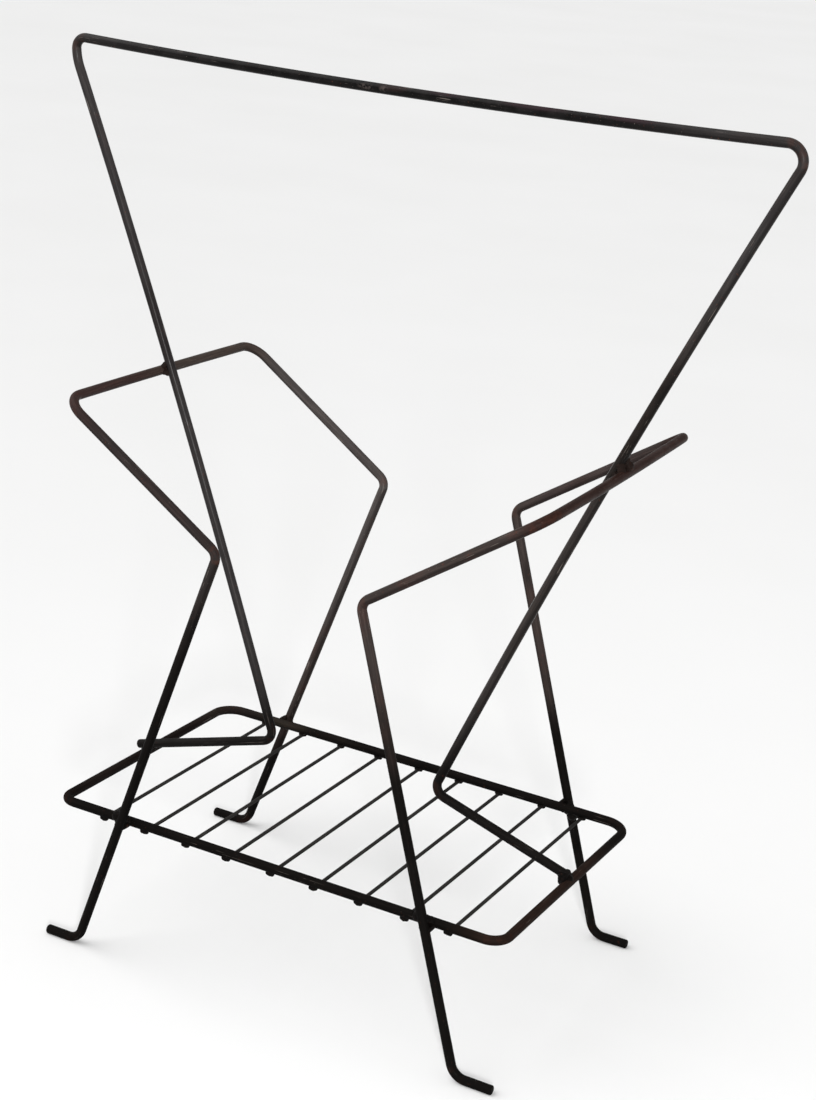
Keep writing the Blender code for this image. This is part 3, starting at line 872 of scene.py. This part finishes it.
def make_finishes():
    bow_zones = (
        ((-0.10, 0.108, 0.29), (0.11, 0.03, 0.14), linear(66, 62, 61), 0.9),
        ((-0.169, -0.06, 0.377), (0.05, 0.09, 0.03), linear(50, 35, 33), 0.9),
        ((-0.169, 0.05, 0.377), (0.04, 0.09, 0.03), linear(62, 53, 48), 0.8),
        ((-0.11, -0.11, 0.33), (0.09, 0.03, 0.08), linear(39, 34, 34), 0.8),
        ((0.168, 0.01, 0.375), (0.03, 0.22, 0.03), linear(40, 25, 21), 0.95),
        ((-0.062, -0.108, 0.277), (0.05, 0.03, 0.045), linear(36, 33, 32), 0.75),
        ((-0.083, -0.108, 0.228), (0.05, 0.03, 0.05), linear(14, 12, 11), 0.85),
        ((0.100, 0.110, 0.335), (0.07, 0.03, 0.06), linear(56, 48, 47), 0.7),
    )
    tray_zones = (
        ((0.165, -0.04, 0.097), (0.05, 0.11, 0.03), linear(32, 22, 18), 0.8),
        ((-0.165, 0.0, 0.097), (0.04, 0.12, 0.03), linear(26, 20, 18), 0.7),
    )
    handle_zones = (
        ((-0.02, 0, 0.590), (0.28, 0.03, 0.035), linear(9, 8, 8), 0.95),
        ((-0.160, 0, 0.34), (0.14, 0.03, 0.28), linear(37, 35, 35), 0.8),
        ((-0.172, 0, 0.400), (0.04, 0.03, 0.05), linear(27, 24, 24), 0.7),
        ((0.150, 0, 0.34), (0.12, 0.03, 0.24), linear(38, 34, 32), 0.9),
        ((0.178, 0, 0.405), (0.05, 0.03, 0.065), linear(21, 17, 15), 0.9),
        ((-0.095, 0, 0.190), (0.06, 0.03, 0.05), linear(36, 34, 34), 0.6),
        ((0.244, 0, 0.575), (0.05, 0.03, 0.04), linear(34, 31, 30), 0.6),
        ((-0.012, -0.003, 0.586), (0.014, 0.02, 0.005), linear(34, 25, 24), 0.8),
        ((0.024, -0.003, 0.588), (0.024, 0.02, 0.005), linear(34, 20, 25), 0.8),
        ((0.082, -0.003, 0.588), (0.036, 0.02, 0.005), linear(34, 18, 24), 0.85),
        ((0.144, -0.003, 0.589), (0.028, 0.02, 0.005), linear(34, 18, 24), 0.85),
    )
    worn_spots = (
        ((-0.030, -0.002, 0.584), (0.012, 0.006, 0.006)),
        ((-0.018, -0.002, 0.584), (0.006, 0.006, 0.006)),
    )
    return {
        "tray": lacquer("tray_lacquer", TRAY_BROWN, OLIVE, 0.45, 0.03, 0.3, tray_zones),
        "wire": lacquer("wire_lacquer", FADED_GREY, OLIVE, 0.45, 0.04, 0.3, deep=WIRE_GREY),
        "bow": lacquer("bow_lacquer", FADED_BROWN, REDDISH_BROWN, 0.42, 0.04, 0.05, bow_zones),
        "handle": lacquer(
            "handle_lacquer", FADED_GREY, PURPLISH, 0.24, 0.07, 0.3, handle_zones, worn_spots
        ),
        "weld": weld_lacquer("weld_lacquer"),
    }


# Stage


def make_floor():
    """A wide pale floor with the faint cloudiness of painted board."""
    mesh = bpy.data.meshes.new("floor")
    shape = bmesh.new()
    bmesh.ops.create_circle(shape, cap_ends=True, segments=96, radius=30)
    shape.to_mesh(mesh)
    shape.free()
    floor = bpy.data.objects.new("floor", mesh)
    bpy.context.scene.collection.objects.link(floor)
    graph = Graph("pale_floor")
    cloud = graph.noise(graph.place(), 2.2, 3.0)
    colour = graph.mix(cloud, (0.86, 0.86, 0.855, 1), (0.90, 0.90, 0.90, 1))
    graph.set(graph.shader.inputs["Base Color"], colour)
    graph.set(graph.shader.inputs["Roughness"], graph.band(cloud, 0.3, 0.7, 0.75, 0.85))
    graph.set(graph.shader.inputs["Specular IOR Level"], 0.1)
    mesh.materials.append(graph.material)


def add_lamp(name, light, place, target):
    lamp = bpy.data.objects.new(name, light)
    bpy.context.scene.collection.objects.link(lamp)
    lamp.location = place
    aim = Vector(target) - Vector(place)
    lamp.rotation_mode = "QUATERNION"
    lamp.rotation_quaternion = aim.to_track_quat("-Z", "Y")


def make_light():
    """Even studio light, a soft glow from the upper left and a small window by the camera."""
    world = bpy.data.worlds.new("studio")
    world.use_nodes = True
    background = world.node_tree.nodes["Background"]
    background.inputs["Color"].default_value = (1.0, 1.0, 1.0, 1)
    background.inputs["Strength"].default_value = 0.55
    bpy.context.scene.world = world
    middle = (0, 0, 0.3)
    glow = bpy.data.lights.new("glow", "SUN")
    glow.energy = 1.75
    glow.angle = math.radians(60)
    add_lamp("glow", glow, (-1.3, -0.5, 2.0), middle)
    window = bpy.data.lights.new("window", "AREA")
    window.shape = "RECTANGLE"
    window.size, window.size_y = 0.20, 0.28
    window.energy = 38
    add_lamp("window", window, (1.35, -2.2, 0.95), middle)
    bpy.context.scene.view_settings.view_transform = "Standard"


def make_camera():
    data = bpy.data.cameras.new("camera")
    data.lens = CAMERA_LENS
    data.sensor_width = 36
    data.clip_start, data.clip_end = 0.05, 100
    camera = bpy.data.objects.new("camera", data)
    bpy.context.scene.collection.objects.link(camera)
    flat = math.cos(CAMERA_ELEVATION)
    back = Vector(
        (
            math.sin(CAMERA_AZIMUTH) * flat,
            -math.cos(CAMERA_AZIMUTH) * flat,
            math.sin(CAMERA_ELEVATION),
        )
    )
    camera.location = CAMERA_TARGET + back * CAMERA_DISTANCE
    level = (-back).to_track_quat("-Z", "Y")
    camera.rotation_mode = "QUATERNION"
    camera.rotation_quaternion = Matrix.Rotation(CAMERA_ROLL, 3, back).to_quaternion() @ level
    bpy.context.scene.camera = camera


def main():
    noise.seed_set(NOISE_SEED)
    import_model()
    finishes = make_finishes()
    make_rods(finishes)
    make_leg_welds(finishes["weld"])
    for side in (LEFT, RIGHT):
        make_handle_foot_weld(side, finishes["weld"])
        make_handle_side_weld(side, finishes["weld"])
    make_wire_welds(finishes["weld"])
    make_floor()
    make_light()
    make_camera()


main()
